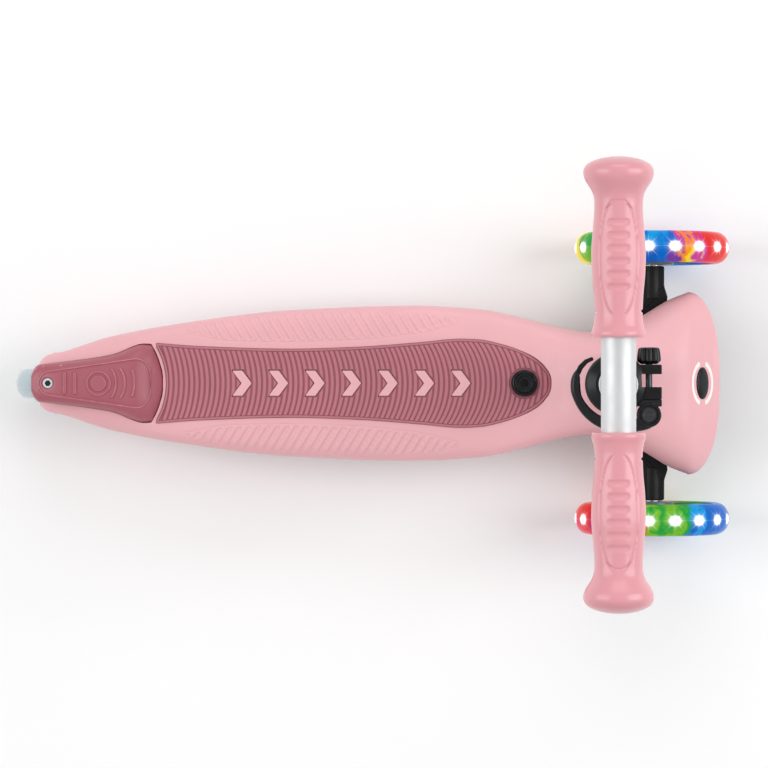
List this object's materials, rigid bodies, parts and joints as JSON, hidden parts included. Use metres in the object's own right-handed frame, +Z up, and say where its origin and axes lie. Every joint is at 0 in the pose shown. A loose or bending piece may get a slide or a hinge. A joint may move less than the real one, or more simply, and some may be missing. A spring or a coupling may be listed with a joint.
{
  "type": "kick scooter",
  "caption": "Child's three-wheel kick scooter: lean-to-steer front arms, light-up front wheels, fender brake and height-adjustable T-bar.",
  "frame": {"origin": "on the floor, under the middle of the object's box", "axes": "+X forward, +Y to the rider's left, +Z up"},
  "size_m": [0.5614, 0.286, 0.702],
  "materials": {
    "pink_plastic": "satin moulded, fine texture",
    "rose_mat": "ribbed soft-touch mat",
    "rose_plastic": "satin moulded",
    "grip_rubber": "matte soft rubber",
    "black_plastic": "fine grain",
    "charcoal_plastic": "satin",
    "silver_tube": "satin anodised",
    "steel": "plated",
    "clear_tyre": "translucent urethane",
    "lamp_tyre": "translucent urethane lit from inside",
    "lamp": "light-up ring",
    "hub_plastic": "satin moulded",
    "bush_rubber": "elastomer"
  },
  "bodies": {
    "deck": {"deck_body": "pink_plastic", "grip_mat": "rose_mat", "deck_plug": "charcoal_plastic", "column_ring": "black_plastic", "truck_cover": "black_plastic", "brake_hinge_pin": "steel", "rear_axle": "steel", "rear_axle_nut": "steel", "rear_spacer": "steel", "column_tube": "silver_tube", "shim_sleeve": "black_plastic", "clamp_collar": "black_plastic", "clamp_rod": "steel", "cam_pin": "charcoal_plastic", "clamp_saddle": "charcoal_plastic", "kingpin_left": "steel", "kingpin_right": "steel", "centring_bush_left": "bush_rubber", "centring_bush_right": "bush_rubber", "cover_screw_left": "steel", "cover_screw_right": "steel"},
    "brake": {"brake_fender": "rose_plastic", "brake_pad": "steel", "brake_screw": "steel", "brake_spring": "steel"},
    "rear_wheel": {"rear_tyre": "clear_tyre", "rear_hub": "hub_plastic", "rear_bearing_left": "steel", "rear_bearing_right": "steel"},
    "lock": {"lock_button": "charcoal_plastic"},
    "handlebar": {"stem_tube": "silver_tube", "stem_plug": "black_plastic", "handlebar_tube": "silver_tube", "grip_left": "grip_rubber", "grip_right": "grip_rubber"},
    "lever": {"clamp_lever": "charcoal_plastic"},
    "nut": {"thumb_nut": "black_plastic"},
    "tie": {"tie_rod": "steel"},
    "arm_left": {"steering_arm_left": "black_plastic", "kingpin_bush_left": "hub_plastic", "axle_bolt_left": "steel", "axle_washer_left": "steel", "magnet_spacer_left": "steel", "tie_pin_left": "steel"},
    "wheel_left": {"tyre_left": "lamp_tyre", "hub_left": "hub_plastic", "lamp_ring_left": "lamp", "inner_bearing_left": "steel", "outer_bearing_left": "steel"},
    "arm_right": {"steering_arm_right": "black_plastic", "kingpin_bush_right": "hub_plastic", "axle_bolt_right": "steel", "axle_washer_right": "steel", "magnet_spacer_right": "steel", "tie_pin_right": "steel"},
    "wheel_right": {"tyre_right": "lamp_tyre", "hub_right": "hub_plastic", "lamp_ring_right": "lamp", "inner_bearing_right": "steel", "outer_bearing_right": "steel"}
  },
  "joints": [
    {"name": "steer_left", "type": "hinge", "parent": "deck", "child": "arm_left", "pos_m": [0.215, 0.039, 0.066], "axis": [0.4695, 0, 0.8829], "range_deg": [-20, 20], "stiffness_Nm_per_rad": 12},
    {"name": "steer_right", "type": "hinge", "parent": "deck", "child": "arm_right", "pos_m": [0.215, -0.039, 0.066], "axis": [0.4695, 0, 0.8829], "range_deg": [-20, 20], "stiffness_Nm_per_rad": 12},
    {"name": "tie_rod_turn", "type": "hinge", "parent": "arm_left", "child": "tie", "pos_m": [0.24384, 0.039, 0.06913], "axis": [0.4695, 0, 0.8829], "range_deg": [-20, 20]},
    {"name": "wheel_left_spin", "type": "hinge", "parent": "arm_left", "child": "wheel_left", "pos_m": [0.2202, 0.106, 0.0605], "axis": [0, 1, 0], "continuous": true},
    {"name": "wheel_right_spin", "type": "hinge", "parent": "arm_right", "child": "wheel_right", "pos_m": [0.2202, -0.106, 0.0605], "axis": [0, 1, 0], "continuous": true},
    {"name": "rear_wheel_spin", "type": "hinge", "parent": "deck", "child": "rear_wheel", "pos_m": [-0.2407, 0, 0.04], "axis": [0, 1, 0], "continuous": true},
    {"name": "brake_press", "type": "hinge", "parent": "deck", "child": "brake", "pos_m": [-0.181, 0, 0.0826], "axis": [0, -1, 0], "range_deg": [0, 2.9], "stiffness_Nm_per_rad": 4, "springref_deg": -2.86},
    {"name": "lock_press", "type": "slide", "parent": "deck", "child": "lock", "axis": [-0.7071, 0, -0.7071], "range_m": [0, 0.004], "stiffness_N_per_m": 300, "springref_m": -0.002},
    {"name": "bar_height", "type": "slide", "parent": "deck", "child": "handlebar", "axis": [-0.0539, 0, 0.9985], "range_m": [0, 0.1]},
    {"name": "lever_open", "type": "hinge", "parent": "deck", "child": "lever", "pos_m": [0.19447, -0.0215, 0.4012], "axis": [-0.0539, 0, 0.9985], "range_deg": [0, 90]},
    {"name": "nut_turn", "type": "hinge", "parent": "deck", "child": "nut", "pos_m": [0.19447, 0.02, 0.4012], "axis": [0, 1, 0], "continuous": true}
  ],
  "couplings": [
    {"joint": "steer_right", "follows": "steer_left", "ratio": 1},
    {"joint": "tie_rod_turn", "follows": "steer_left", "ratio": -1}
  ]
}
